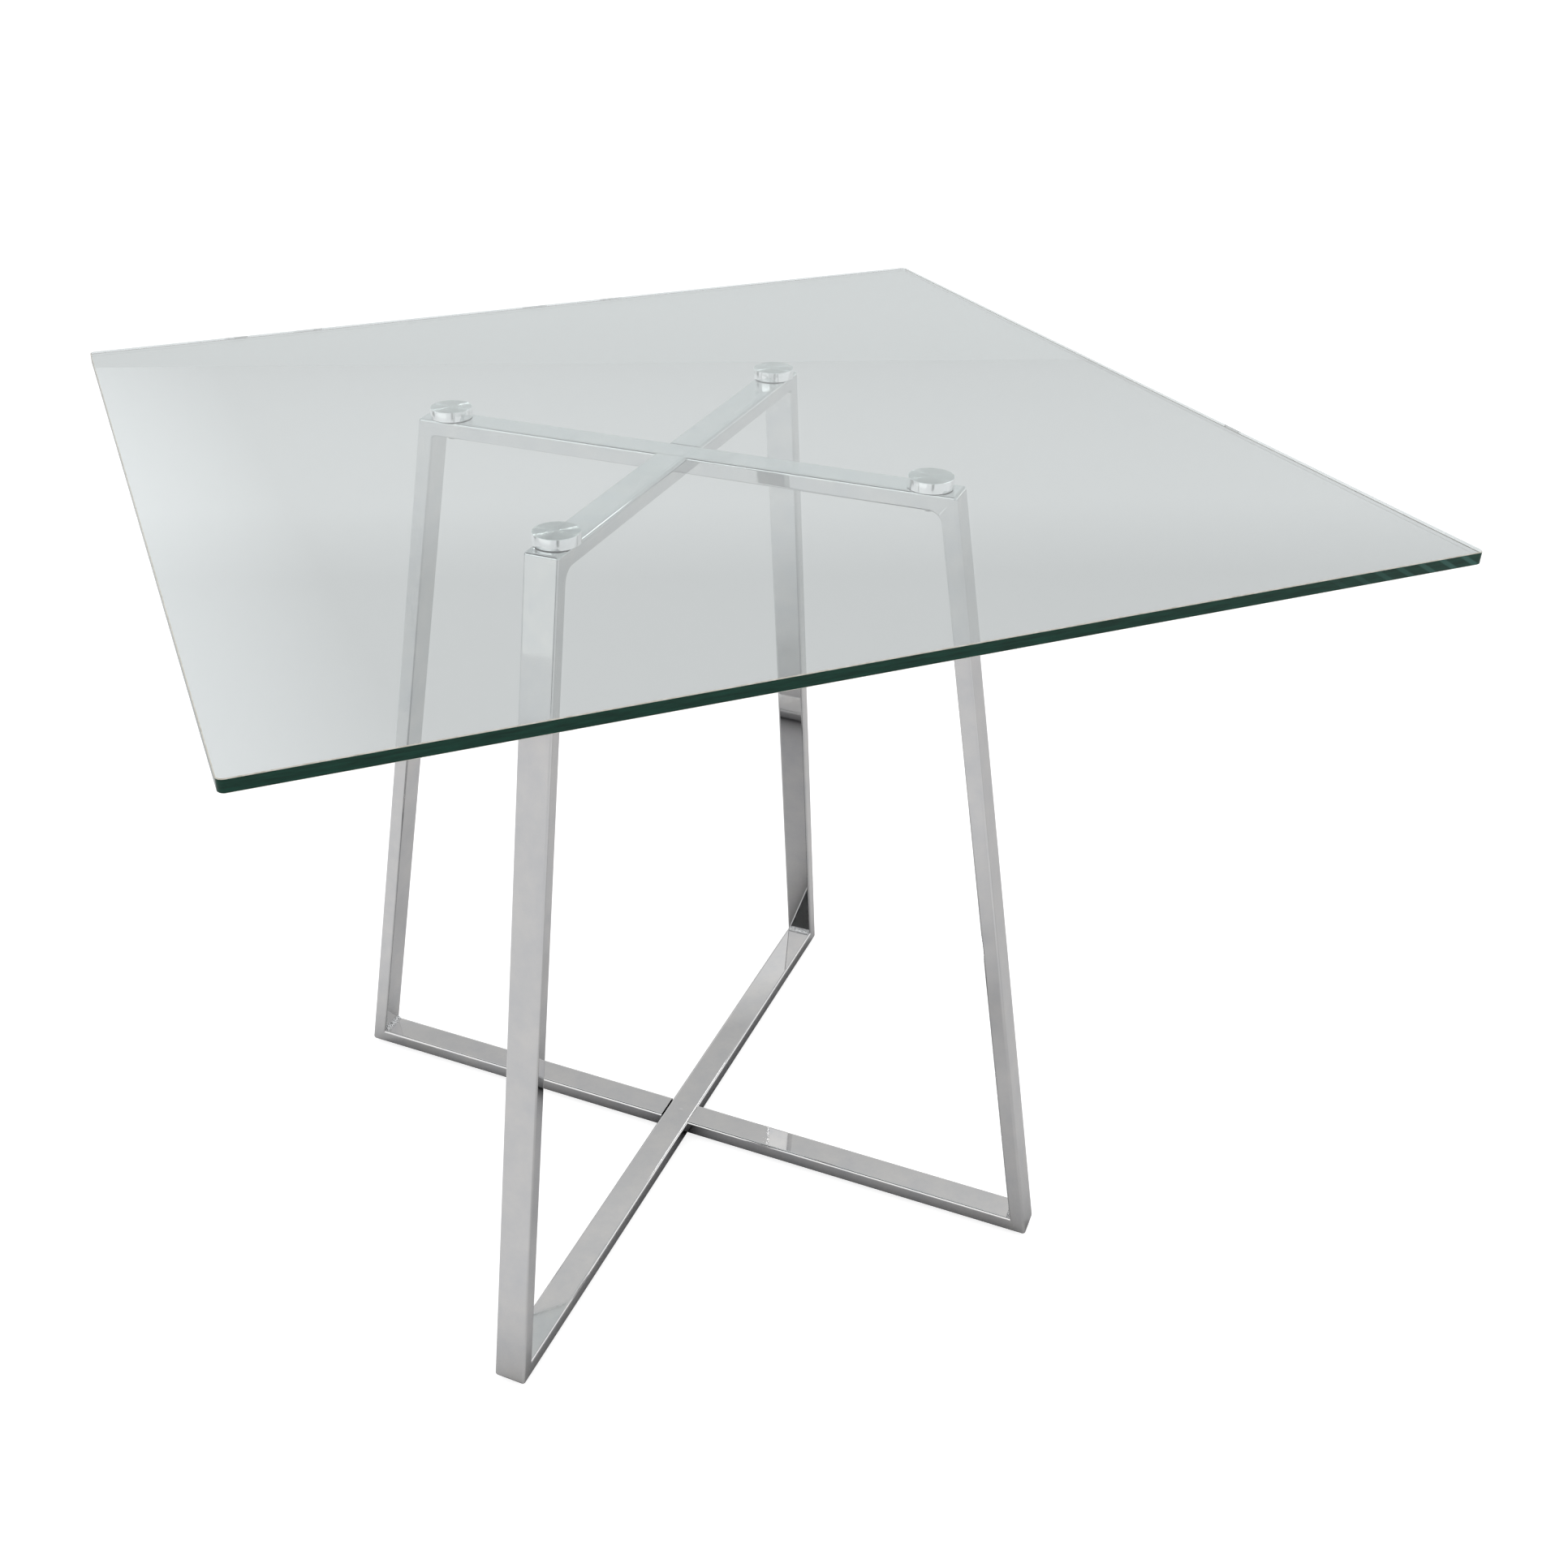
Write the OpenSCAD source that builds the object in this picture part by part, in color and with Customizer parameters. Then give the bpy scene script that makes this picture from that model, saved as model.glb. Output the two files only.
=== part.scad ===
// Square glass dining table on a base of two crossed, splayed tube frames.
// The origin is on the floor under the middle of the top, and +Z is up.
// The glass edges run along X and Y. The two frames stand under its diagonals.

/* [Glass top] */
// Side of the square glass top
glass_w = 900; // [760:10:1100]
// Thickness of the glass
glass_t = 10; // [8:1:15]
// Radius of the upright corners of the glass
glass_corner_r = 5; // [3:1:25]
// Width of the ground bevel along the upper and lower edges
glass_bevel = 1; // [0.5:0.1:2]

/* [Base] */
// Height of the base, without its feet
base_h = 745; // [650:5:800]
// Length of a frame at the floor, from outer corner to outer corner
foot_span = 760; // [700:5:850]
// Length of a frame at the top, from outer corner to outer corner
top_span = 500; // [420:5:560]
// Width of the rectangular tube, across the plane of its frame
tube_w = 30; // [28:1:40]
// Depth of the rectangular tube, in the plane of its frame
tube_d = 15; // [14:1:20]
// Wall of the tube
tube_wall = 1.5; // [1.2:0.1:2]
// Outer radius of the long edges of the tube
tube_r = 2.5; // [2:0.1:3]
// Radius that the outer corners of a frame are ground to
corner_r = 3; // [3:0.1:6]
// Polished weld fillet under the top bars at the two front legs
front_fillet_r = 12; // [6:1:15]
// Polished weld fillet under the top bars at the two back legs
back_fillet_r = 4; // [3:1:15]
// Radius of the weld beads in the lower corners
bead_r = 3.5; // [2:0.1:5]

/* [Glass mountings] */
// Diameter of a mounting disc
disc_d = 38; // [34:1:50]
// Height of a mounting disc
disc_h = 9; // [8:0.5:15]
// Distance from the end of a top bar to the middle of its disc
disc_inset = 26; // [24:1:40]
// Thickness of the clear bond between disc and glass
bond_t = 0.2; // [0.1:0.1:0.5]
// Thickness of the washer between disc and bar
pad_t = 0.5; // [0.5:0.1:1.5]
// Nominal diameter of the screw that holds a disc
disc_screw_d = 6; // [5:1:6]

/* [Feet and joining plates] */
// Height of the feet under the lower bars
foot_h = 3.5; // [3:0.1:6]
// Diameter of a foot
foot_d = 18; // [14:1:20]
// Distance from the corner of a lower bar to the middle of its foot
foot_inset = 45; // [35:1:80]
// Length of the plate that joins the frames at a crossing
plate_l = 84; // [80:1:110]
// Width of that plate
plate_w = 20; // [16:1:22]
// Thickness of that plate
plate_t = 2; // [1.5:0.1:2.5]
// Nominal diameter of the screws in the plate
plate_screw_d = 5; // [4:1:5]

/* [Hidden] */
$fn = 48;
CORNERS = [
    ["front_left", 225, front_fillet_r],
    ["back_right", 45, back_fillet_r],
    ["back_left", 135, back_fillet_r],
    ["front_right", 315, front_fillet_r],
];
// The frame under the front-left and back-right corners, and the one across it
FIRST = [CORNERS[0], CORNERS[1]];
SECOND = [CORNERS[2], CORNERS[3]];
first_turn = FIRST[1][1];
second_turn = SECOND[0][1];

clearance = 0.05;
// How far the arms of an unbroken bar run past the middle
overlap = 1;
foot_x = foot_span / 2;
top_x = top_span / 2;
floor_z = foot_h;
bar_top_z = foot_h + base_h;
lower_bar_top_z = floor_z + tube_d;
upper_bar_low_z = bar_top_z - tube_d;
lean = atan((foot_x - top_x) / base_h);
leg_l = base_h / cos(lean);
// Half the angle inside each corner
foot_half_angle = (90 - lean) / 2;
top_half_angle = (90 + lean) / 2;

disc_x = top_x - disc_inset;
disc_z = bar_top_z + pad_t;
bond_z = disc_z + disc_h;
glass_z = bond_z + bond_t;
disc_edge = 0.7;
disc_foot_d = disc_d - 2;
disc_hole_r = disc_screw_d / 2 + clearance;
bar_hole_r = disc_screw_d / 2 + 0.3;
sleeve_r = disc_screw_d / 2 + 2;
washer_r = disc_screw_d;
washer_t = 1.2;
screw_head_r = disc_screw_d * 0.9;
screw_head_h = 3.3;
screw_grip = 5.5;
screw_key = disc_screw_d * 0.6;

bush_r = plate_screw_d / 2 + 2;
bush_h = tube_d - tube_wall;
bush_spacing = tube_w / 2 + 15;
plate_head_r = plate_screw_d * 0.9;
plate_head_h = plate_t * 0.9;
plate_screw_l = 12;
plate_key = plate_screw_d * 0.55;
dimple_r = 3.5;
dimple_depth = 0.3;
foot_stem_r = 2.5;
foot_stem_h = 7;
foot_x_pos = foot_x - foot_inset;

// A rectangle with round corners, drawn about its middle
module rounded_rectangle(width, depth, r) {
    square([width - 2 * r, depth], center = true);
    square([width, depth - 2 * r], center = true);
    for (x = [-1, 1], y = [-1, 1])
        translate([x * (width / 2 - r), y * (depth / 2 - r)]) circle(r);
}

// Inner outline of the tube
module tube_hollow() {
    rounded_rectangle(tube_w - 2 * tube_wall, tube_d - 2 * tube_wall, tube_r - tube_wall);
}

// A slab across the frame, from an outline in the plane of the frame
module frame_slab(outline) {
    rotate([90, 0, 0]) linear_extrude(2 * tube_w, center = true) polygon(outline);
}

// Extrudes a section of tube from x towards -X, or +X, with its outer side up at z = 0
module along_tube(x, length, way = -1) {
    translate([x, 0, -tube_d / 2])
        rotate([90, 0, 90 * way]) linear_extrude(length) children();
}

// The tube's outline with its inner side built up for a weld fillet
module built_up_section(deep) {
    rounded_rectangle(tube_w, tube_d, tube_r);
    translate([-tube_w / 2, -tube_d / 2 - deep]) square([tube_w, tube_d - tube_r + deep]);
}

// Direction of a mitre from the outer corner at the origin, one unit down
function mitre_slope(half_angle) = [-1 / tan(half_angle), -1];

// What a weld fillet leaves open: a spool whose flared rims round the edges of the fillet
module fillet_opening(half_angle, r) {
    centre = mitre_slope(half_angle) * (tube_d + r);
    rim = tube_w / 2 - tube_r;
    translate([centre.x, 0, centre.y]) rotate([90, 0, 0]) rotate_extrude() {
        translate([0, -tube_w]) square([r, 2 * tube_w]);
        for (side = [-1, 1]) scale([1, side]) difference() {
            translate([0, rim]) square([r + tube_r, 2 * tube_r]);
            translate([r + tube_r, rim]) circle(tube_r);
        }
    }
}

// The tube's section swept round an outer corner
module rolled_corner() {
    rotate_extrude() intersection() {
        rounded_rectangle(2 * corner_r, tube_w, tube_r);
        translate([0, -tube_w]) square([2 * corner_r, 2 * tube_w]);
    }
}

// What is cut off a tube at its end: all beyond the mitre, and the outside of the corner
module end_cut(half_angle, deep) {
    slope = mitre_slope(half_angle);
    centre = slope * corner_r;
    frame_slab([-slope, slope * deep, [-slope.x, -deep]]);
    difference() {
        frame_slab([centre, [centre.x, 1], [-slope.x, 1], [-slope.x, centre.y]]);
        translate([centre.x, 0, centre.y]) rotate([90, 0, 0]) rolled_corner();
    }
}

// Tube along -X from its outer corner at the origin, with a weld fillet inside the corner
module filleted_arm(length, half_angle, r) {
    tangent_x = mitre_slope(half_angle).x * (tube_d + r);
    difference() {
        union() {
            along_tube(tangent_x, length + tangent_x)
                rounded_rectangle(tube_w, tube_d, tube_r);
            difference() {
                along_tube(tangent_x, -tangent_x, 1) built_up_section(r);
                fillet_opening(half_angle, r);
            }
        }
        along_tube(1, length + 2) tube_hollow();
        end_cut(half_angle, tube_d + r + 1);
    }
}

// The same with a plain mitre
module mitred_arm(length, half_angle) {
    difference() {
        along_tube(0, length) rounded_rectangle(tube_w, tube_d, tube_r);
        along_tube(1, length + 2) tube_hollow();
        end_cut(half_angle, tube_d + 1);
    }
}

module leg(fillet_r) {
    color("silver") translate([top_x, 0, bar_top_z]) rotate([0, 90 - lean, 0]) rotate(180)
        difference() {
            filleted_arm(leg_l, top_half_angle, fillet_r);
            translate([-leg_l, 0, 0]) rotate(180) end_cut(foot_half_angle, tube_d + 1);
        }
}

module upper_arm(from_x, fillet_r) {
    difference() {
        translate([top_x, 0, bar_top_z])
            filleted_arm(top_x - from_x, top_half_angle, fillet_r);
        translate([disc_x, 0, upper_bar_low_z - 1]) cylinder(r = bar_hole_r, h = tube_d + 2);
    }
}

module lower_arm(from_x) {
    difference() {
        translate([foot_x, 0, floor_z]) rotate([180, 0, 0])
            mitred_arm(foot_x - from_x, foot_half_angle);
        translate([foot_x_pos, 0, floor_z - 1])
            cylinder(r = foot_stem_r + clearance, h = tube_wall + 2);
    }
}

// Hole in the lower wall of a bar for a threaded bush
module bush_hole(z, x) {
    translate([x, 0, z - 1]) cylinder(r = bush_r + clearance, h = tube_wall + 2);
}

module upper_half_bar(fillet_r) {
    color("silver") difference() {
        upper_arm(tube_w / 2, fillet_r);
        bush_hole(upper_bar_low_z, bush_spacing);
    }
}

module lower_half_bar() {
    color("silver") difference() {
        lower_arm(tube_w / 2);
        bush_hole(floor_z, bush_spacing);
    }
}

module upper_bar_through() {
    color("silver") difference() {
        union() {
            upper_arm(-overlap, back_fillet_r);
            rotate(180) upper_arm(-overlap, front_fillet_r);
        }
        bush_hole(upper_bar_low_z, 0);
    }
}

// The shallow dimple lies over the bush that is welded in below
module lower_bar_through() {
    ball_r = (dimple_r * dimple_r + dimple_depth * dimple_depth) / (2 * dimple_depth);
    color("silver") difference() {
        union() for (turn = [0, 180]) rotate(turn) lower_arm(-overlap);
        bush_hole(floor_z, 0);
        translate([0, 0, lower_bar_top_z - dimple_depth + ball_r]) sphere(ball_r);
    }
}

// Bead along the lower inner corner, between the leg and the bar
module weld_bead() {
    side = 2 * bead_r;
    color("gainsboro")
        translate([foot_x - tube_d / tan(foot_half_angle), 0, lower_bar_top_z])
            rotate([90, 0, 0]) linear_extrude(tube_w - 2 * tube_r, center = true)
                intersection() {
                    circle(bead_r);
                    polygon([
                        [0, 0],
                        side * [-sin(lean), cos(lean)],
                        side * [-1, 1],
                        side * [-1, 0],
                    ]);
                }
}

module mounting_disc() {
    color("lightgray") translate([disc_x, 0, disc_z]) difference() {
        union() {
            cylinder(d1 = disc_foot_d, d2 = disc_d, h = disc_edge);
            translate([0, 0, disc_edge]) cylinder(d = disc_d, h = disc_h - 2 * disc_edge);
            translate([0, 0, disc_h - disc_edge])
                cylinder(d1 = disc_d, d2 = disc_d - disc_edge, h = disc_edge);
        }
        translate([0, 0, -1]) cylinder(r = disc_hole_r, h = screw_grip + 2);
    }
}

module bond_film() {
    color("azure") translate([disc_x, 0, bond_z]) cylinder(d = disc_foot_d, h = bond_t);
}

module ring(outer_r, hole_r, height) {
    difference() {
        cylinder(r = outer_r, h = height);
        translate([0, 0, -1]) cylinder(r = hole_r, h = height + 2);
    }
}

module disc_washer() {
    color("dimgray") translate([disc_x, 0, bar_top_z])
        ring(disc_foot_d / 2, bar_hole_r, pad_t);
}

module screw_washer() {
    color("silver") translate([disc_x, 0, upper_bar_low_z - washer_t])
        ring(washer_r, bar_hole_r, washer_t);
}

module spacer_sleeve() {
    color("gray") translate([disc_x, 0, upper_bar_low_z + tube_wall])
        ring(sleeve_r, bar_hole_r, tube_d - 2 * tube_wall);
}

// Screw from below, through washer, bar and sleeve into the disc
module disc_screw() {
    head_z = upper_bar_low_z - washer_t - screw_head_h;
    key_h = screw_head_h * 0.6;
    color("silver") translate([disc_x, 0, head_z]) difference() {
        union() {
            cylinder(r1 = screw_head_r * 0.75, r2 = screw_head_r, h = screw_head_h / 2);
            translate([0, 0, screw_head_h / 2]) cylinder(r = screw_head_r, h = screw_head_h / 2);
            translate([0, 0, screw_head_h - 1])
                cylinder(d = disc_screw_d, h = 1 + washer_t + tube_d + pad_t + screw_grip);
        }
        translate([0, 0, -1]) cylinder(d = screw_key, h = key_h + 1, $fn = 6);
    }
}

module foot() {
    color("dimgray") translate([foot_x_pos, 0, 0]) {
        cylinder(d1 = foot_d - 1, d2 = foot_d, h = 0.5);
        translate([0, 0, 0.5]) cylinder(d = foot_d, h = foot_h - 0.5);
        translate([0, 0, foot_h - 0.5]) cylinder(r = foot_stem_r, h = foot_stem_h);
    }
}

// The three bushes of a crossing lie in line, one in the bar that runs through
module along_plate() {
    for (x = [-bush_spacing, 0, bush_spacing]) translate([x, 0, 0]) children();
}

module threaded_bushes(z) {
    color("gray") along_plate() translate([0, 0, z])
        ring(bush_r, plate_screw_d / 2 + clearance, bush_h);
}

module joining_plate(z) {
    color("silver") translate([0, 0, z - plate_t]) difference() {
        linear_extrude(plate_t) {
            square([plate_l - plate_w, plate_w], center = true);
            for (x = [-1, 1]) translate([x * (plate_l - plate_w) / 2, 0]) circle(d = plate_w);
        }
        along_plate() {
            translate([0, 0, -1]) cylinder(r = plate_screw_d / 2 + 0.3, h = plate_t + 2);
            translate([0, 0, -clearance])
                cylinder(r1 = plate_head_r + 2 * clearance, r2 = plate_screw_d / 2 + 2 * clearance,
                    h = plate_head_h);
        }
    }
}

module plate_screws(z) {
    color("silver") along_plate() translate([0, 0, z - plate_t]) difference() {
        union() {
            cylinder(r1 = plate_head_r, r2 = plate_screw_d / 2, h = plate_head_h);
            cylinder(d = plate_screw_d, h = plate_screw_l);
        }
        translate([0, 0, -1]) cylinder(d = plate_key, h = 1 + plate_t * 0.6, $fn = 6);
    }
}

// Outline across the glass, from its middle to its bevelled edge, or across all of it
function glass_outline(left, right) = [
    [left < 0 ? left + glass_bevel : 0, 0],
    [right - glass_bevel, 0],
    [right, glass_bevel],
    [right, glass_t - glass_bevel],
    [right - glass_bevel, glass_t],
    [left < 0 ? left + glass_bevel : 0, glass_t],
    [left, glass_t - glass_bevel],
    [left, glass_bevel],
];

module glass_top() {
    straight_w = glass_w - 2 * glass_corner_r;
    color("lightcyan", 0.4) translate([0, 0, glass_z]) {
        for (turn = [0, 90]) rotate([90, 0, turn]) linear_extrude(straight_w, center = true)
            polygon(glass_outline(-glass_w / 2, glass_w / 2));
        for (x = [-1, 1], y = [-1, 1]) translate([x, y] * straight_w / 2)
            rotate_extrude() polygon(glass_outline(0, glass_corner_r));
    }
}

glass_top();
rotate(first_turn) lower_bar_through();
rotate(second_turn) upper_bar_through();
for (c = FIRST)
    rotate(c[1]) upper_half_bar(c[2]);
for (c = SECOND)
    rotate(c[1]) lower_half_bar();
for (c = CORNERS) {
    rotate(c[1]) leg(c[2]);
    rotate(c[1]) weld_bead();
    rotate(c[1]) mounting_disc();
    rotate(c[1]) bond_film();
    rotate(c[1]) disc_washer();
    rotate(c[1]) disc_screw();
    rotate(c[1]) screw_washer();
    rotate(c[1]) spacer_sleeve();
    rotate(c[1]) foot();
}
for (crossing = [["lower", second_turn, floor_z], ["upper", first_turn, upper_bar_low_z]]) {
    rotate(crossing[1]) joining_plate(crossing[2]);
    rotate(crossing[1]) plate_screws(crossing[2]);
    rotate(crossing[1]) threaded_bushes(crossing[2]);
}
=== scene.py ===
"""Finishes a square glass dining table: chromed frames, turned discs, glass and fixings."""

import math

import bmesh
import bpy
from mathutils import Matrix, Vector
from mathutils.noise import noise as noise_of


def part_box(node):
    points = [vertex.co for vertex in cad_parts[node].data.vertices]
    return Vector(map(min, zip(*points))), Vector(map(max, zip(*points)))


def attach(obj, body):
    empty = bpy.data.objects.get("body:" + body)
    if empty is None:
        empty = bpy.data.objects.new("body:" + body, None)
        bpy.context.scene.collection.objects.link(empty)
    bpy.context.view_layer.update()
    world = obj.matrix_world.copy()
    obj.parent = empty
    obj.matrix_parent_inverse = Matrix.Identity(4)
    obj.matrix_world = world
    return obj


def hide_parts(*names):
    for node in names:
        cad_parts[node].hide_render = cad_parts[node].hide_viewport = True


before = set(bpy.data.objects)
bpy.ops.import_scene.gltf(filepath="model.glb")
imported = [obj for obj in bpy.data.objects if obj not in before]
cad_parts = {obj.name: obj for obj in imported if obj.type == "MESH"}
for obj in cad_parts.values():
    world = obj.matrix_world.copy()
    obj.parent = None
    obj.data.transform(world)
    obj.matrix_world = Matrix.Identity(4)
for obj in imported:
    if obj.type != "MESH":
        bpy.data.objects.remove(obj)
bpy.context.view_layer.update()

bl_info = {
    "name": "Glass dining table",
    "version": (1, 0, 0),
    "blender": (4, 5, 0),
    "location": "3D View > Sidebar > Table",
    "description": "Builds the glass top, chromed tubes, discs and small parts of the table",
    "category": "Object",
}

CORNERS = ("front_left", "back_right", "back_left", "front_right")
BARS = (
    "lower_bar_through",
    "upper_bar_through",
    "upper_half_bar_front_left",
    "upper_half_bar_back_right",
    "lower_half_bar_back_left",
    "lower_half_bar_front_right",
)
# Points nearer than this are one point
WELD_DISTANCE = 1e-5
# Faces that meet at a wider angle keep a sharp edge
SMOOTH_ANGLE = math.radians(32)

# The lower half bar that stops a little short of the bar it meets, and by how much
STOPPED_BAR = "lower_half_bar_back_left"
OUT_BACK_LEFT = Vector((-math.sqrt(0.5), math.sqrt(0.5), 0.0))
JOINT_GAP = 0.0008

# Weld beads: the lengths each is cut into, the height and closeness of ripples and pits
BEAD_CUTS = 48
BEAD_RIPPLE = 0.00018
BEAD_RIDGES = 5200.0
BEAD_PITTING = 900.0
# An end face looks along the bead, and the bulge looks up and inwards
END_FACING = 0.5
BULGE_FACING = 0.9
# Painted shade in the small pits, and the plated weld metal around them
PIT_SHADE_COLOUR = (0.10, 0.10, 0.10)
WELD_COLOUR = (0.72, 0.73, 0.74)

# Discs: steps of the turning, tints of the polished wall, and the gap above and below a bond
DISC_STEPS = 96
WALL_DULL = (0.86, 0.86, 0.86)
WALL_BRIGHT = (0.94, 0.94, 0.94)
FILM_GAP = 3e-5

# Glass: its refraction, rounding of the corners, and how level a pane and an edge are
GLASS_IOR = 1.52
CORNER_SEGMENTS = 8
PANE_LEVEL = 0.9
EDGE_LEVEL = 0.3
ARRIS_SHADED = (0.58, 0.54, 0.45)
ARRIS_PALE = (0.86, 0.84, 0.77)
# Painted reflection: paler bands that slant across the polished edge towards its right corner
BAND_SPACING = 0.019
BAND_SLANT = 1.6
BAND_REACH = (0.30, 0.44)
REFLECTION_BAND_COLOUR = (0.035, 0.11, 0.09)

# Hidden fixings, washers and feet
ZINC_COLOUR = (0.62, 0.62, 0.60)
STEEL_COLOUR = (0.45, 0.44, 0.43)
WASHER_COLOUR = (0.03, 0.03, 0.032)
FOOT_COLOUR = (0.05, 0.05, 0.05)

# Floor as the pieces see it: painted shade under the table, plain round it, and painted light to
# the left and in front
FLOOR_RADIUS = 40.0
FLOOR_SEGMENTS = 96
FLOOR_PAINTED_SHADE = (0.46, 0.46, 0.47)
FLOOR_PLAIN = (0.72, 0.715, 0.715)
FLOOR_PAINTED_LIGHT = (0.95, 0.95, 0.955)
# How the painted shade under the table thins out, and where the painted light begins, left and
# in front
SHADE_REACH = (0.02, 0.24)
PAINTED_LIGHT_EDGE = (-0.45, -0.08)
PAINTED_LIGHT_FRONT = 0.6
# Painted shade close to the feet and bars, which ends before the wall
CONTACT_SHADE_REACH = 0.15
CONTACT_SHADE_DEPTH = 1.5
CONTACT_SHADE_END = (0.8, 1.1)
# Floor and room as the camera sees them, and the room as the pieces see it
SEEN_FLOOR = (0.5, 0.5, 0.5, 1.0)
SEEN_FLOOR_GLOW = 0.78
SEEN_ROOM = (1.0, 1.0, 1.0, 1.0)
MIRRORED_ROOM = (0.85, 0.85, 0.86, 1.0)
CEILING = 4.0


def even(brightness):
    """The same brightness from the floor to the ceiling"""
    return ((0.0, brightness), (CEILING, brightness))


# Name, width and height, place, facing, and brightness at heights above the floor
STUDIO_CARDS = (
    (
        "back_wall",
        (12.0, 4.0),
        (0.95, 2.6, 2.0),
        (-0.347, -0.938, 0.0),
        (
            (0.0, 0.57),
            (0.9, 0.66),
            (1.4, 0.86),
            (1.9, 0.9),
            (2.1, 0.6),
            (2.5, 0.64),
            (2.9, 0.74),
            (CEILING, 0.7),
        ),
    ),
    ("ceiling", (9.0, 9.0), (0.0, -1.6, CEILING), (0.0, 0.0, -1.0), even(0.72)),
    (
        "left_softbox",
        (3.4, 3.2),
        (-3.2, -1.2, 1.8),
        (1.0, 0.25, 0.0),
        ((0.0, 1.05), (1.0, 1.05), (1.8, 1.3), (3.4, 2.2)),
    ),
    ("right_softbox", (2.6, 0.6), (3.0, 0.0, 1.0), (-1.0, 0.0, 0.0), even(2.0)),
    ("left_window", (0.4, 0.5), (-0.66, 2.75, 2.46), (0.136, -0.854, -0.5), even(28.0)),
    ("right_window", (0.4, 0.45), (2.0, 1.7, 2.8), (-0.615, -0.53, -0.583), even(5.0)),
    ("left_flag", (1.1, 2.6), (-2.9, 2.2, 1.3), (0.8, -0.6, 0.0), even(0.16)),
    ("rear_flag", (0.6, 2.2), (-0.9, -3.4, 1.1), (0.2, 1.0, 0.0), even(0.12)),
    ("upper_flag", (2.0, 2.6), (-2.15, -0.5, 3.9), (0.0, 0.0, -1.0), even(0.03)),
)


# --- Settings -------------------------------------------------------------------------


class GlassSettings(bpy.types.PropertyGroup):
    """Sizes and colours of the glass top"""

    corner_radius: bpy.props.FloatProperty(
        name="Corner radius",
        description="Radius of the upright corners",
        default=0.005,
        subtype="DISTANCE",
        unit="LENGTH",
    )
    bevel: bpy.props.FloatProperty(
        name="Bevel",
        description="Width of the ground bevel along the edges",
        default=0.0006,
        subtype="DISTANCE",
        unit="LENGTH",
    )
    tint: bpy.props.FloatVectorProperty(
        name="Tint",
        description="Colour that the thickness of the glass takes on",
        default=(0.20, 0.62, 0.64),
        subtype="COLOR",
    )
    tint_density: bpy.props.FloatProperty(
        name="Tint density",
        description="How strongly a metre of glass absorbs",
        default=9.0,
    )
    edge_colour: bpy.props.FloatVectorProperty(
        name="Edge colour",
        description="Deep green that the polished edge shows",
        default=(0.003, 0.026, 0.017),
        subtype="COLOR",
    )


class ChromeSettings(bpy.types.PropertyGroup):
    """Finish of the plated tubes"""

    colour: bpy.props.FloatVectorProperty(
        name="Colour",
        description="Tint of the plating",
        default=(0.655, 0.66, 0.67),
        subtype="COLOR",
    )
    warm_colour: bpy.props.FloatVectorProperty(
        name="Warm colour",
        description="Tint of the plating where it is a little hazy",
        default=(0.672, 0.665, 0.655),
        subtype="COLOR",
    )
    roughness: bpy.props.FloatProperty(
        name="Roughness", description="Roughness of the plating", default=0.03
    )
    waviness: bpy.props.FloatProperty(
        name="Waviness", description="How far the plating is from flat", default=0.02
    )


class DiscSettings(bpy.types.PropertyGroup):
    """Sizes and finish of the turned mounting discs"""

    edge: bpy.props.FloatProperty(
        name="Edge",
        description="Width of the broken upper edge",
        default=0.0005,
        subtype="DISTANCE",
        unit="LENGTH",
    )
    hole: bpy.props.FloatProperty(
        name="Hole",
        description="Radius of the hole for the screw",
        default=0.00305,
        subtype="DISTANCE",
        unit="LENGTH",
    )
    hole_depth: bpy.props.FloatProperty(
        name="Hole depth",
        description="Depth of the hole for the screw",
        default=0.0065,
        subtype="DISTANCE",
        unit="LENGTH",
    )
    groove: bpy.props.FloatProperty(
        name="Groove",
        description="Distance from one turned ring to the next",
        default=0.0004,
        subtype="DISTANCE",
        unit="LENGTH",
    )
    groove_slope: bpy.props.FloatProperty(
        name="Groove slope",
        description="Steepest slope of the rings",
        default=0.75,
    )
    colour: bpy.props.FloatVectorProperty(
        name="Colour",
        description="Tint of the turned steel",
        default=(0.70, 0.72, 0.71),
        subtype="COLOR",
    )


class StageSettings(bpy.types.PropertyGroup):
    """Camera, floor and studio light"""

    camera_place: bpy.props.FloatVectorProperty(
        name="Camera place",
        description="Where the camera stands",
        default=(-0.50164, -1.31717, 1.25123),
        subtype="TRANSLATION",
        unit="LENGTH",
    )
    camera_turn: bpy.props.FloatVectorProperty(
        name="Camera turn",
        description="How the camera is turned",
        default=tuple(math.radians(a) for a in (60.004, 0.410, -20.567)),
        subtype="EULER",
        unit="ROTATION",
    )
    lens: bpy.props.FloatProperty(
        name="Lens", description="Focal length in millimetres", default=39.33
    )
    shift: bpy.props.FloatVectorProperty(
        name="Shift",
        description="How far the view is shifted across and up",
        default=(0.0754, -0.0080),
        size=2,
    )


# --- Meshes ---------------------------------------------------------------------------


def finish_piece(name, bm, material, replaced=()):
    """Makes a smooth-shaded piece from a bmesh, hangs it under the root body and hides the parts
    it replaces
    """
    mesh = bpy.data.meshes.new(name)
    bm.to_mesh(mesh)
    bm.free()
    mesh.shade_smooth()
    mesh.set_sharp_from_angle(angle=SMOOTH_ANGLE)
    piece = bpy.data.objects.new(name, mesh)
    bpy.context.scene.collection.objects.link(piece)
    for one in material if isinstance(material, (list, tuple)) else [material]:
        mesh.materials.append(one)
    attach(piece, "root")
    if replaced:
        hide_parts(*replaced)
    return piece


def merged_node(node):
    """A bmesh copy of a CAD node with its loose triangles joined"""
    bm = bmesh.new()
    bm.from_mesh(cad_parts[node].data)
    bmesh.ops.remove_doubles(bm, verts=bm.verts, dist=WELD_DISTANCE)
    return bm


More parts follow.
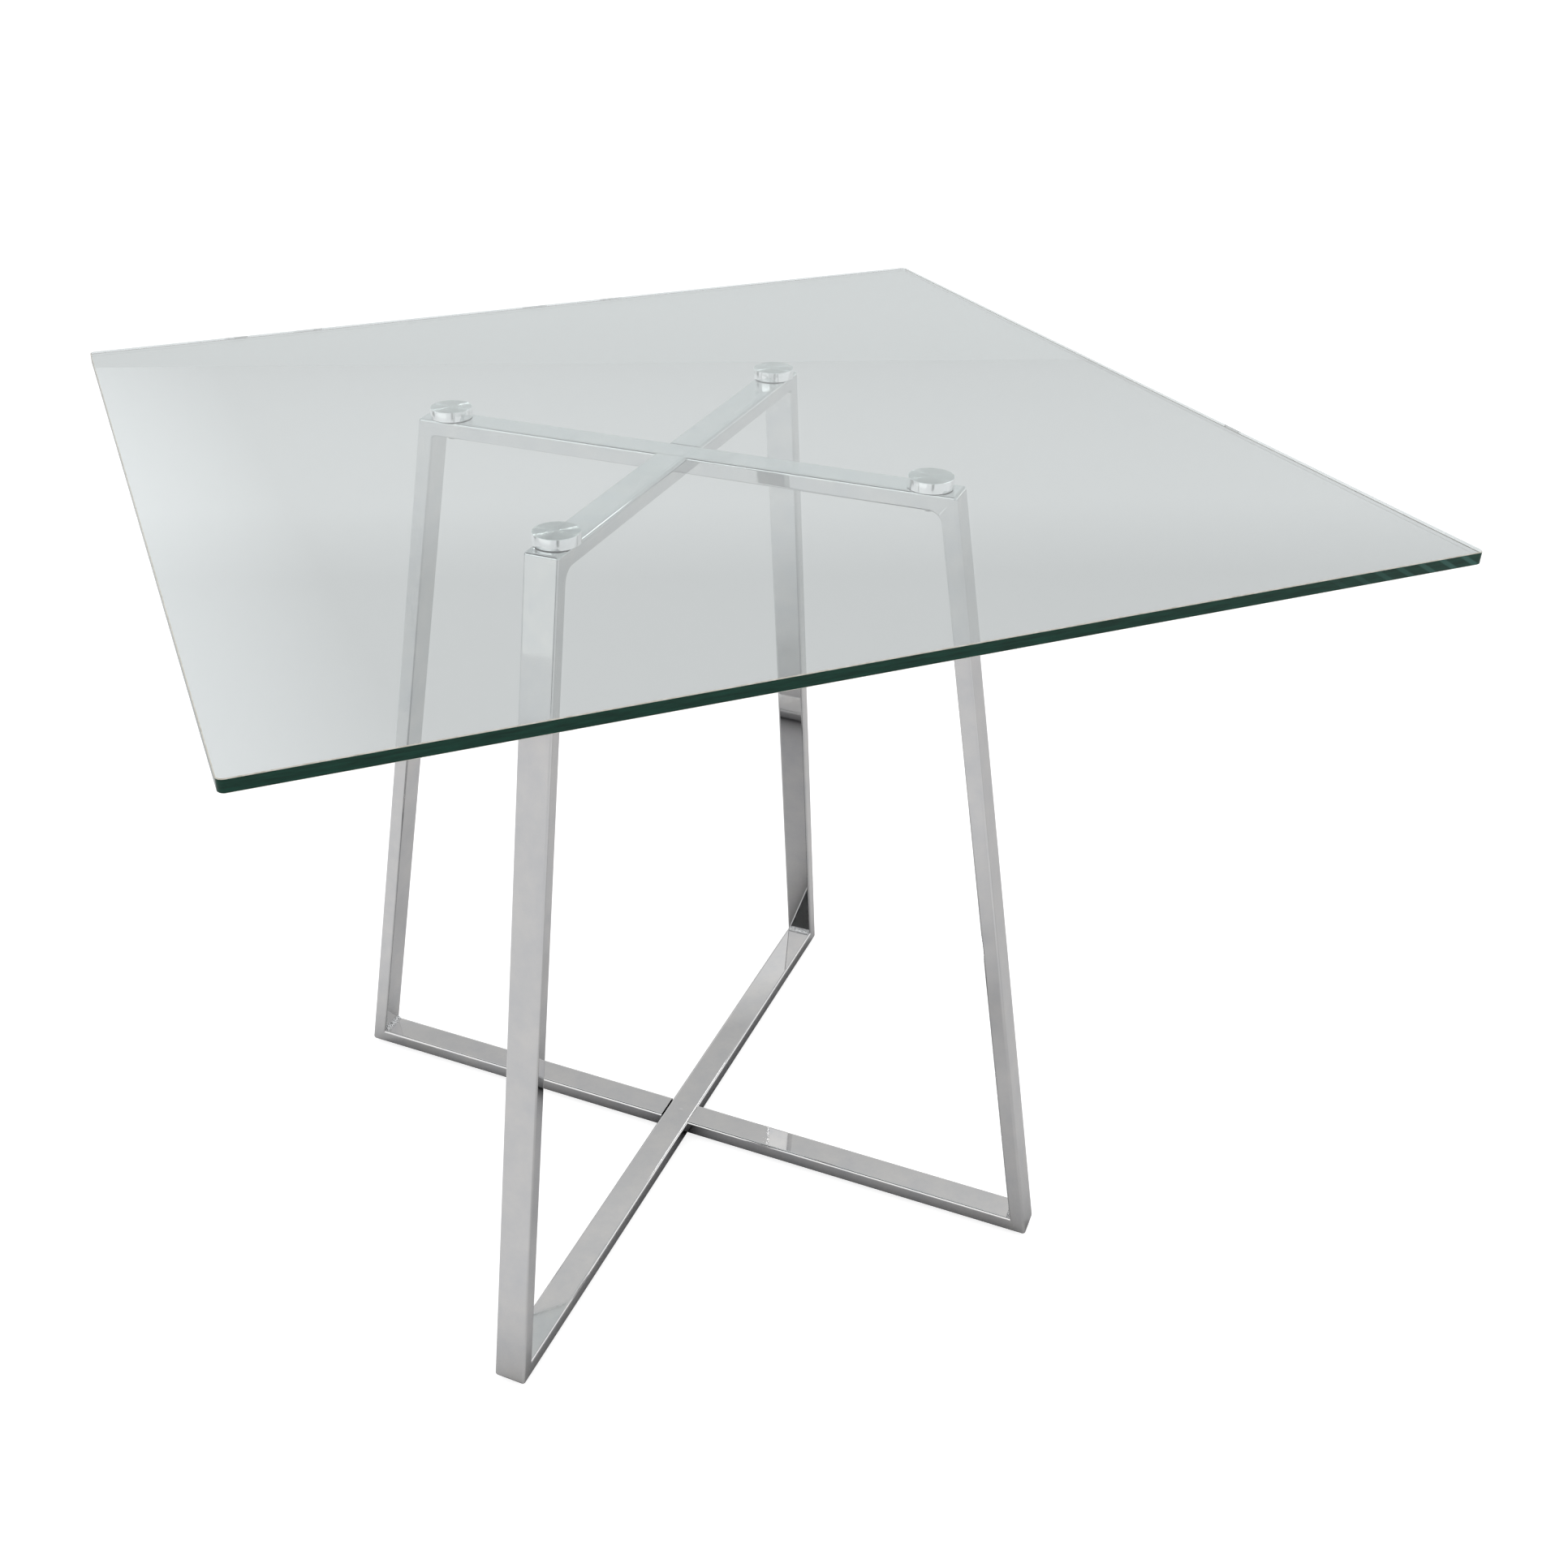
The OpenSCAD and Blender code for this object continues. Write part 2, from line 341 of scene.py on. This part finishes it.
def middle(node):
    low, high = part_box(node)
    return (low + high) / 2


# --- Materials ------------------------------------------------------------------------

# Places of the two colours that go into a Mix node, and of the one that comes out
MIX_LOW, MIX_HIGH, MIX_COLOUR = 6, 7, 2


def fill(tree, node, inputs):
    """Links patterns to a node's inputs, and sets plain values on them"""
    for key, value in inputs.items():
        if isinstance(value, bpy.types.NodeSocket):
            tree.links.new(value, node.inputs[key])
        else:
            node.inputs[key].default_value = value


def new_material(name):
    """A material with its Principled shader, and a function that adds nodes to it"""
    material = bpy.data.materials.new(name)
    material.use_nodes = True
    tree = material.node_tree

    def add(kind, inputs=None, **settings):
        node = tree.nodes.new(kind)
        for key, value in settings.items():
            setattr(node, key, value)
        fill(tree, node, inputs or {})
        return node

    return material, tree, tree.nodes["Principled BSDF"], add


def cover(tree, shader):
    """Puts a shader on the surface"""
    tree.links.new(shader, tree.nodes["Material Output"].inputs["Surface"])


def object_coordinates(add):
    return add("ShaderNodeTexCoord").outputs["Object"]


def stretched(add, scale):
    """Object coordinates stretched along an axis"""
    mapping = {"Vector": object_coordinates(add), "Scale": scale}
    return add("ShaderNodeMapping", mapping).outputs["Vector"]


def noise(add, vector, scale, detail=3.0, roughness=0.5):
    settings = {"Vector": vector, "Scale": scale, "Detail": detail, "Roughness": roughness}
    return add("ShaderNodeTexNoise", settings).outputs["Fac"]


def calculated(add, operation, first, second=0.0):
    """One sum with numbers or patterns"""
    return add("ShaderNodeMath", {0: first, 1: second}, operation=operation).outputs["Value"]


def on_vectors(add, operation, first, second=(0.0, 0.0, 0.0)):
    """One sum with vectors"""
    node = add("ShaderNodeVectorMath", {0: first, 1: second}, operation=operation)
    return node.outputs["Vector"]


def length_of(add, vector):
    return add("ShaderNodeVectorMath", {0: vector}, operation="LENGTH").outputs["Value"]


def resized(add, vector, factor):
    """A vector times a number"""
    node = add("ShaderNodeVectorMath", {0: vector, "Scale": factor}, operation="SCALE")
    return node.outputs["Vector"]


def spread(add, value, low, high, from_low=0.3, from_high=0.7):
    """Maps a pattern's middle range onto low to high"""
    ranges = {
        "Value": value,
        "From Min": from_low,
        "From Max": from_high,
        "To Min": low,
        "To Max": high,
    }
    return add("ShaderNodeMapRange", ranges).outputs["Result"]


def tinted(add, factor, low, high):
    """Mixes two colours by a pattern; either may be a pattern itself"""
    inputs = {"Factor": factor}
    for place, colour in ((MIX_LOW, low), (MIX_HIGH, high)):
        plain = not isinstance(colour, bpy.types.NodeSocket)
        inputs[place] = (*colour, 1.0) if plain else colour
    return add("ShaderNodeMix", inputs, data_type="RGBA").outputs[MIX_COLOUR]


def mixed(add, factor, first, second):
    """Mixes two shaders"""
    return add("ShaderNodeMixShader", {0: factor, 1: first, 2: second}).outputs["Shader"]


def bumped(add, height, strength, distance):
    """Normals tilted by a pattern's height"""
    inputs = {"Height": height, "Strength": strength, "Distance": distance}
    return add("ShaderNodeBump", inputs).outputs["Normal"]


def scaled(colour, factor):
    return tuple(channel * factor for channel in colour)


def chrome_material():
    """Bright plating with faint haze, and a surface that isn't quite flat"""
    settings = bpy.context.scene.table_chrome
    material, tree, shader, add = new_material("chromed_tube")
    vector = object_coordinates(add)
    haze = noise(add, vector, scale=38.0, detail=5.0, roughness=0.6)
    waves = noise(add, vector, scale=9.0, detail=1.0)
    cool, warm = scaled(settings.colour, 0.96), scaled(settings.warm_colour, 1.04)
    finish = {
        "Base Color": tinted(add, spread(add, haze, 0.0, 1.0), cool, warm),
        "Metallic": 1.0,
        "Roughness": spread(add, haze, settings.roughness * 0.6, settings.roughness * 1.6),
        "Normal": bumped(add, waves, strength=settings.waviness, distance=0.01),
    }
    fill(tree, shader, finish)
    return material


def weld_material():
    """Plated weld metal: ripples across the bead and small pits darkened with painted shade"""
    material, tree, shader, add = new_material("chromed_weld")
    vector = object_coordinates(add)
    ripples = noise(add, vector, scale=420.0, detail=3.0, roughness=0.6)
    pits = noise(add, vector, scale=900.0, detail=2.0)
    # Painted shade: dark spots where the small pits lie
    filled = spread(add, pits, 0.0, 1.0, 0.35, 0.5)
    finish = {
        "Base Color": tinted(add, filled, PIT_SHADE_COLOUR, WELD_COLOUR),
        "Metallic": 1.0,
        "Roughness": spread(add, pits, 0.08, 0.35),
        "Normal": bumped(add, ripples, strength=0.8, distance=0.0015),
    }
    fill(tree, shader, finish)
    return material


def disc_material(centre):
    """Steel turned in fine rings round the middle of a disc, whose slopes spread the light"""
    settings = bpy.context.scene.table_disc
    material, tree, shader, add = new_material("turned_steel")
    place = on_vectors(add, "SUBTRACT", object_coordinates(add), centre)
    level = on_vectors(add, "MULTIPLY", place, (1.0, 1.0, 0.0))
    turns = calculated(add, "MULTIPLY", length_of(add, level), math.tau / settings.groove)
    slope = calculated(add, "MULTIPLY", calculated(add, "SINE", turns), settings.groove_slope)
    lean = resized(add, on_vectors(add, "NORMALIZE", level), slope)
    leaning = on_vectors(add, "ADD", lean, (0.0, 0.0, 1.0))
    grain = noise(add, object_coordinates(add), scale=700.0, detail=2.0)
    finish = {
        "Base Color": tinted(add, grain, scaled(settings.colour, 0.95), settings.colour),
        "Metallic": 1.0,
        "Roughness": spread(add, grain, 0.10, 0.16),
        "Normal": on_vectors(add, "NORMALIZE", leaning),
    }
    fill(tree, shader, finish)
    return material


def disc_side_material():
    """The polished wall of a disc"""
    material, tree, shader, add = new_material("polished_steel")
    lines = noise(add, stretched(add, (1.0, 1.0, 40.0)), scale=120.0, detail=2.0)
    finish = {
        "Base Color": tinted(add, lines, WALL_DULL, WALL_BRIGHT),
        "Metallic": 1.0,
        "Roughness": spread(add, lines, 0.12, 0.22),
    }
    fill(tree, shader, finish)
    return material


def absorb(add, tree):
    """Green that deepens with the thickness of the glass"""
    settings = bpy.context.scene.table_glass
    depth = {"Color": (*settings.tint, 1.0), "Density": settings.tint_density}
    volume = add("ShaderNodeVolumeAbsorption", depth).outputs["Volume"]
    tree.links.new(volume, tree.nodes["Material Output"].inputs["Volume"])


def glass_pane_material():
    """Clear glass whose faces have faint wiping marks"""
    material, tree, shader, add = new_material("clear_glass")
    marks = noise(add, stretched(add, (1.0, 2.5, 1.0)), scale=7.0, detail=6.0, roughness=0.65)
    finish = {
        "Base Color": (1.0, 1.0, 1.0, 1.0),
        "Transmission Weight": 1.0,
        "IOR": GLASS_IOR,
        "Roughness": spread(add, marks, 0.0, 0.006, 0.45, 0.8),
    }
    fill(tree, shader, finish)
    absorb(add, tree)
    return material


def glass_edge_material():
    """The polished edge: deep green from outside with slanting bands of painted reflection,
    clear from within
    """
    colour = bpy.context.scene.table_glass.edge_colour
    material, tree, shader, add = new_material("glass_edge")
    streaks = noise(add, stretched(add, (1.0, 1.0, 9.0)), scale=40.0, detail=3.0, roughness=0.6)
    deep = tinted(add, spread(add, streaks, 0.0, 1.0), colour, scaled(colour, 2.0))
    # Painted reflection: paler bands slanting across the edge towards the right corner
    split = add("ShaderNodeSeparateXYZ", {"Vector": object_coordinates(add)}).outputs
    slant = calculated(add, "MULTIPLY", split["Z"], BAND_SLANT)
    along = calculated(add, "ADD", split["X"], slant)
    wave = calculated(add, "SINE", calculated(add, "MULTIPLY", along, math.tau / BAND_SPACING))
    towards_corner = spread(add, split["X"], 0.0, 1.0, *BAND_REACH)
    reflection_band = calculated(add, "MULTIPLY", spread(add, wave, 0.0, 1.0, 0.35, 0.8), towards_corner)
    finish = {
        "Base Color": tinted(add, reflection_band, deep, REFLECTION_BAND_COLOUR),
        "Roughness": spread(add, streaks, 0.1, 0.18),
        "IOR": GLASS_IOR,
        "Specular IOR Level": 0.2,
    }
    fill(tree, shader, finish)
    inside = add("ShaderNodeBsdfGlass", {"IOR": GLASS_IOR, "Roughness": 0.0})
    from_within = add("ShaderNodeNewGeometry").outputs["Backfacing"]
    cover(tree, mixed(add, from_within, shader.outputs["BSDF"], inside.outputs["BSDF"]))
    absorb(add, tree)
    return material


def glass_arris_material():
    """The narrow ground bevels, frosted and pale"""
    material, tree, shader, add = new_material("glass_arris")
    grain = noise(add, object_coordinates(add), scale=180.0, detail=4.0, roughness=0.6)
    finish = {
        "Base Color": tinted(add, spread(add, grain, 0.0, 1.0), ARRIS_SHADED, ARRIS_PALE),
        "Roughness": spread(add, grain, 0.28, 0.42),
        "IOR": GLASS_IOR,
    }
    fill(tree, shader, finish)
    absorb(add, tree)
    return material


def plain_metal(name, colour, roughness):
    """Metal of the hidden fixings"""
    material, tree, shader, add = new_material(name)
    grain = noise(add, object_coordinates(add), scale=260.0, detail=4.0)
    finish = {
        "Base Color": tinted(add, grain, scaled(colour, 0.85), colour),
        "Metallic": 1.0,
        "Roughness": spread(add, grain, roughness * 0.7, roughness * 1.4),
    }
    fill(tree, shader, finish)
    return material


def plain_plastic(name, colour, roughness):
    """Moulded plastic with a fine grain"""
    material, tree, shader, add = new_material(name)
    grain = noise(add, object_coordinates(add), scale=900.0, detail=2.0)
    finish = {
        "Base Color": tinted(add, grain, scaled(colour, 0.8), colour),
        "Roughness": spread(add, grain, roughness * 0.8, roughness * 1.2),
        "Normal": bumped(add, grain, strength=0.15, distance=0.0002),
    }
    fill(tree, shader, finish)
    return material


def film_material():
    """Clear bond between a disc and the glass"""
    material, tree, shader, add = new_material("clear_bond")
    patches = noise(add, object_coordinates(add), scale=150.0, detail=3.0)
    gloss = add("ShaderNodeBsdfGlossy", {"Roughness": 0.2}).outputs["BSDF"]
    clear = add("ShaderNodeBsdfTransparent").outputs["BSDF"]
    cover(tree, mixed(add, spread(add, patches, 0.0, 0.03), clear, gloss))
    tree.nodes.remove(shader)
    return material


# --- Operators ------------------------------------------------------------------------


class TABLE_OT_tubes(bpy.types.Operator):
    """Plate the legs and bars of both frames"""

    bl_idname = "table.tubes"
    bl_label = "Legs and bars"

    def execute(self, context):
        chrome = chrome_material()
        for node in BARS + tuple(f"leg_{corner}" for corner in CORNERS):
            bm = merged_node(node)
            if node == STOPPED_BAR:
                joint = min(vert.co.dot(OUT_BACK_LEFT) for vert in bm.verts)
                for vert in bm.verts:
                    if abs(vert.co.dot(OUT_BACK_LEFT) - joint) < WELD_DISTANCE:
                        vert.co += OUT_BACK_LEFT * JOINT_GAP
            piece = finish_piece(f"chromed_{node}", bm, chrome, [node])
            flat = piece.modifiers.new("flat_faces", "WEIGHTED_NORMAL")
            flat.keep_sharp = True
        return {"FINISHED"}


class TABLE_OT_welds(bpy.types.Operator):
    """Lay the weld beads in the lower inner corners"""

    bl_idname = "table.welds"
    bl_label = "Weld beads"

    def execute(self, context):
        weld = weld_material()
        for corner in CORNERS:
            node = f"weld_bead_{corner}"
            finish_piece(f"rippled_{node}", self.bead(node), weld, [node])
        return {"FINISHED"}

    def bead(self, node):
        """The node cut into short lengths and raised and pitted like laid weld metal"""
        bm = merged_node(node)
        centre = middle(node)
        across = Vector((-centre.y, centre.x, 0.0)).normalized()
        reaches = [across.dot(vert.co) for vert in bm.verts]
        start, end = min(reaches), max(reaches)
        for step in range(1, BEAD_CUTS):
            at = start + (end - start) * step / BEAD_CUTS
            bmesh.ops.bisect_plane(
                bm,
                geom=bm.verts[:] + bm.edges[:] + bm.faces[:],
                plane_co=across * at,
                plane_no=across,
            )
        bm.normal_update()
        inward = Vector((-centre.x, -centre.y, 0.0)).normalized() + Vector((0.0, 0.0, 1.0))
        off_ends = [
            vert
            for vert in bm.verts
            if all(abs(face.normal.dot(across)) < END_FACING for face in vert.link_faces)
        ]
        for vert in off_ends:
            if vert.normal.dot(inward) > BULGE_FACING:
                pitting = noise_of(vert.co * BEAD_PITTING)
                ridges = math.sin(across.dot(vert.co) * BEAD_RIDGES)
                vert.co += vert.normal * (pitting * 0.5 + ridges * 0.5) * BEAD_RIPPLE
        return bm


class TABLE_OT_discs(bpy.types.Operator):
    """Turn the mounting discs, with their bonds and washers"""

    bl_idname = "table.discs"
    bl_label = "Mounting discs"

    def execute(self, context):
        washer = plain_plastic("dark_plastic", WASHER_COLOUR, roughness=0.45)
        bond = film_material()
        side = disc_side_material()
        for corner in CORNERS:
            node = f"mounting_disc_{corner}"
            top = disc_material(middle(node))
            bm = self.turned(node, context.scene.table_disc)
            finish_piece(f"turned_disc_{corner}", bm, [top, side], [node])
            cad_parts[f"disc_washer_{corner}"].data.materials[0] = washer
            node = f"bond_film_{corner}"
            finish_piece(f"clear_film_{corner}", self.thinned(node), bond, [node])
        return {"FINISHED"}

    def thinned(self, node):
        """A bond film that stays just clear of the disc and the glass"""
        low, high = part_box(node)
        film = merged_node(node)
        bmesh.ops.scale(
            film,
            vec=(1.0, 1.0, 1.0 - 2.0 * FILM_GAP / (high.z - low.z)),
            space=Matrix.Translation(-middle(node)),
            verts=film.verts,
        )
        return film

    def turned(self, node, settings):
        """A disc spun from its outline, with the threaded hole that its screw goes into"""
        low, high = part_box(node)
        centre = middle(node)
        radius, height, edge = (high.x - low.x) / 2, high.z - low.z, settings.edge
        outline = (
            (0.0, height),
            (radius - edge, height),
            (radius - 0.3 * edge, height - 0.2 * edge),
            (radius, height - edge),
            (radius, 0.5 * edge),
            (radius - edge, 0.0),
            (settings.hole, 0.0),
            (settings.hole, settings.hole_depth),
            (0.0, settings.hole_depth),
        )
        bm = bmesh.new()
        line = [bm.verts.new((x, 0.0, z)) for x, z in outline]
        edges = [bm.edges.new(pair) for pair in zip(line, line[1:])]
        bmesh.ops.spin(
            bm,
            geom=line + edges,
            cent=(0.0, 0.0, 0.0),
            axis=(0.0, 0.0, 1.0),
            angle=math.tau,
            steps=DISC_STEPS,
            use_merge=True,
        )
        bmesh.ops.remove_doubles(bm, verts=bm.verts, dist=WELD_DISTANCE)
        bmesh.ops.recalc_face_normals(bm, faces=bm.faces)
        for face in bm.faces:
            on_top = face.calc_center_median().z > height - WELD_DISTANCE
            face.material_index = 0 if on_top else 1
        bmesh.ops.translate(bm, vec=(centre.x, centre.y, low.z), verts=bm.verts)
        return bm


class TABLE_OT_fixings(bpy.types.Operator):
    """Finish the screws, washers, sleeves, plates and bushes"""

    bl_idname = "table.fixings"
    bl_label = "Screws and plates"

    def execute(self, context):
        zinc = plain_metal("zinc_steel", ZINC_COLOUR, roughness=0.3)
        steel = plain_metal("plain_steel", STEEL_COLOUR, roughness=0.4)
        finishes = {
            "disc_screw": zinc,
            "screw_washer": zinc,
            "joining_plate": zinc,
            "plate_screws": zinc,
            "spacer_sleeve": steel,
            "threaded_bushes": steel,
        }
        for node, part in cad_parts.items():
            for kind, finish in finishes.items():
                if kind in node:
                    part.data.materials[0] = finish
        return {"FINISHED"}


class TABLE_OT_feet(bpy.types.Operator):
    """Finish the plastic feet"""

    bl_idname = "table.feet"
    bl_label = "Feet"

    def execute(self, context):
        plastic = plain_plastic("foot_plastic", FOOT_COLOUR, roughness=0.5)
        for corner in CORNERS:
            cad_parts[f"foot_{corner}"].data.materials[0] = plastic
        return {"FINISHED"}


class TABLE_OT_glass(bpy.types.Operator):
    """Cut, grind and tint the glass top"""

    bl_idname = "table.glass"
    bl_label = "Glass top"

    def execute(self, context):
        settings = context.scene.table_glass
        low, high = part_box("glass_top")
        size = high - low
        bm = bmesh.new()
        bmesh.ops.create_cube(bm, size=1.0)
        bmesh.ops.scale(bm, vec=size, verts=bm.verts)
        bmesh.ops.translate(bm, vec=(low + high) / 2, verts=bm.verts)
        corners = self.edges(bm, size.z, upright=True)
        self.bevel(bm, corners, settings.corner_radius, CORNER_SEGMENTS)
        rims = self.edges(bm, size.z, upright=False)
        self.bevel(bm, rims, settings.bevel, 1)
        bm.normal_update()
        for face in bm.faces:
            level = abs(face.normal.z)
            face.material_index = 0 if level > PANE_LEVEL else 1 if level < EDGE_LEVEL else 2
        finishes = [glass_pane_material(), glass_edge_material(), glass_arris_material()]
        top = finish_piece("clear_glass_top", bm, finishes, ["glass_top"])
        top.visible_shadow = False
        top.visible_diffuse = False
        return {"FINISHED"}

    def edges(self, bm, thickness, upright):
        """The edges that stand upright, or those that lie along a face"""
        rises = {edge: abs(edge.verts[0].co.z - edge.verts[1].co.z) for edge in bm.edges}
        return [edge for edge, rise in rises.items() if (rise > thickness / 2) == upright]

    def bevel(self, bm, edges, width, segments):
        bmesh.ops.bevel(
            bm,
            geom=edges,
            offset=width,
            offset_type="OFFSET",
            affect="EDGES",
            segments=segments,
            profile=0.5,
            material=-1,
        )


class TABLE_OT_stage(bpy.types.Operator):
    """Set the floor, the soft light and the camera"""

    bl_idname = "table.stage"
    bl_label = "Stage"

    def execute(self, context):
        self.floor()
        for name, size, place, facing, heights in STUDIO_CARDS:
            self.card(name, size, Vector(place), Vector(facing), heights)
        self.surroundings(context.scene)
        self.camera(context.scene)
        return {"FINISHED"}

    def floor(self):
        """A floor that the camera sees white, and the pieces see in soft greys: painted shade
        under the table and close to the feet and bars, and painted light to the left and in
        front
        """
        bm = bmesh.new()
        bmesh.ops.create_circle(bm, cap_ends=True, segments=FLOOR_SEGMENTS, radius=FLOOR_RADIUS)
        material, tree, shader, add = new_material("pale_floor")
        place = object_coordinates(add)
        split = add("ShaderNodeSeparateXYZ", {"Vector": place}).outputs
        out = length_of(add, place)
        # Painted shade under the table, thinning out in clouds
        clouds = noise(add, place, scale=2.6, detail=4.0, roughness=0.6)
        apart = spread(add, calculated(add, "MULTIPLY", out, clouds), 0.0, 1.0, *SHADE_REACH)
        # Painted light to the left and in front
        front = calculated(add, "ADD", split["Y"], PAINTED_LIGHT_FRONT)
        side = calculated(add, "MINIMUM", split["X"], front)
        colour = tinted(add, apart, FLOOR_PAINTED_SHADE, FLOOR_PLAIN)
        colour = tinted(add, spread(add, side, 1.0, 0.0, *PAINTED_LIGHT_EDGE), colour, FLOOR_PAINTED_LIGHT)
        # Painted shade: the floor darkened close to the feet and bars
        contact_shade = {"Color": colour, "Distance": CONTACT_SHADE_REACH}
        near = add("ShaderNodeAmbientOcclusion", contact_shade, samples=4).outputs["AO"]
        deep = calculated(add, "POWER", near, CONTACT_SHADE_DEPTH)
        beyond = spread(add, out, 0.0, 1.0, *CONTACT_SHADE_END)
        shade = calculated(add, "MAXIMUM", deep, beyond)
        mirrored = add("ShaderNodeBsdfDiffuse", {"Color": resized(add, colour, shade)})
        pale = add("ShaderNodeBsdfDiffuse", {"Color": SEEN_FLOOR}).outputs["BSDF"]
        glow = add("ShaderNodeEmission", {"Strength": SEEN_FLOOR_GLOW}).outputs["Emission"]
        seen = add("ShaderNodeAddShader", {0: pale, 1: glow}).outputs["Shader"]
        by_camera = add("ShaderNodeLightPath").outputs["Is Camera Ray"]
        cover(tree, mixed(add, by_camera, mirrored.outputs["BSDF"], seen))
        tree.nodes.remove(shader)
        self.prop("studio_floor", bm, material)

    def card(self, name, size, place, facing, heights):
        """A glowing panel outside the view, its brightness set by height above the floor"""
        bm = bmesh.new()
        bmesh.ops.create_grid(bm, x_segments=1, y_segments=1, size=0.5)
        turn = facing.to_track_quat("Z", "Y").to_matrix().to_4x4()
        bmesh.ops.scale(bm, vec=(*size, 1.0), verts=bm.verts)
        bmesh.ops.transform(bm, matrix=Matrix.Translation(place) @ turn, verts=bm.verts)
        material, tree, shader, add = new_material(name)
        split = add("ShaderNodeSeparateXYZ", {"Vector": object_coordinates(add)}).outputs
        top = heights[-1][0]
        ramp = add("ShaderNodeValToRGB", {"Fac": calculated(add, "DIVIDE", split["Z"], top)})
        stops = ramp.color_ramp.elements
        while len(stops) < len(heights):
            stops.new(1.0)
        brightest = max(level for height, level in heights)
        for stop, (height, level) in zip(stops, heights):
            stop.position = height / top
            stop.color = (*[level / brightest] * 3, 1.0)
        glow = add("ShaderNodeEmission", {"Color": ramp.outputs["Color"], "Strength": brightest})
        cover(tree, glow.outputs["Emission"])
        tree.nodes.remove(shader)
        self.prop(name, bm, material).visible_camera = False

    def prop(self, name, bm, material):
        """Makes an object of the stage from a bmesh"""
        mesh = bpy.data.meshes.new(name)
        bm.to_mesh(mesh)
        bm.free()
        mesh.materials.append(material)
        prop = bpy.data.objects.new(name, mesh)
        bpy.context.scene.collection.objects.link(prop)
        return prop

    def surroundings(self, scene):
        """A white surround to look at, and a dimmer room that the pieces reflect"""
        world = bpy.data.worlds.new("studio")
        scene.world = world
        world.use_nodes = True
        tree = world.node_tree
        light = tree.nodes.new("ShaderNodeLightPath")
        mix = tree.nodes.new("ShaderNodeMix")
        mix.data_type = "RGBA"
        by_camera = light.outputs["Is Camera Ray"]
        fill(tree, mix, {"Factor": by_camera, MIX_LOW: MIRRORED_ROOM, MIX_HIGH: SEEN_ROOM})
        tree.links.new(mix.outputs[MIX_COLOUR], tree.nodes["Background"].inputs["Color"])

    def camera(self, scene):
        settings = scene.table_stage
        data = bpy.data.cameras.new("camera")
        data.lens = settings.lens
        data.sensor_width = 36.0
        data.shift_x, data.shift_y = settings.shift
        camera = bpy.data.objects.new("camera", data)
        camera.location = settings.camera_place
        camera.rotation_euler = settings.camera_turn
        scene.collection.objects.link(camera)
        scene.camera = camera
        scene.view_settings.view_transform = "Standard"


OPERATORS = (
    TABLE_OT_tubes,
    TABLE_OT_welds,
    TABLE_OT_discs,
    TABLE_OT_fixings,
    TABLE_OT_feet,
    TABLE_OT_glass,
    TABLE_OT_stage,
)


class TABLE_PT_panel(bpy.types.Panel):
    """Lists the steps that build the table"""

    bl_idname = "TABLE_PT_panel"
    bl_label = "Glass table"
    bl_space_type = "VIEW_3D"
    bl_region_type = "UI"
    bl_category = "Table"

    def draw(self, context):
        for operator in OPERATORS:
            self.layout.operator(operator.bl_idname)


SETTINGS = {
    "table_glass": GlassSettings,
    "table_chrome": ChromeSettings,
    "table_disc": DiscSettings,
    "table_stage": StageSettings,
}


def register():
    for name, group in SETTINGS.items():
        bpy.utils.register_class(group)
        setattr(bpy.types.Scene, name, bpy.props.PointerProperty(type=group))
    for each in (*OPERATORS, TABLE_PT_panel):
        bpy.utils.register_class(each)


def unregister():
    for each in (TABLE_PT_panel, *reversed(OPERATORS)):
        bpy.utils.unregister_class(each)
    for name, group in SETTINGS.items():
        delattr(bpy.types.Scene, name)
        bpy.utils.unregister_class(group)


def main():
    register()
    for step in ("tubes", "welds", "discs", "fixings", "feet", "glass", "stage"):
        getattr(bpy.ops.table, step)()


if __name__ == "__main__":
    main()
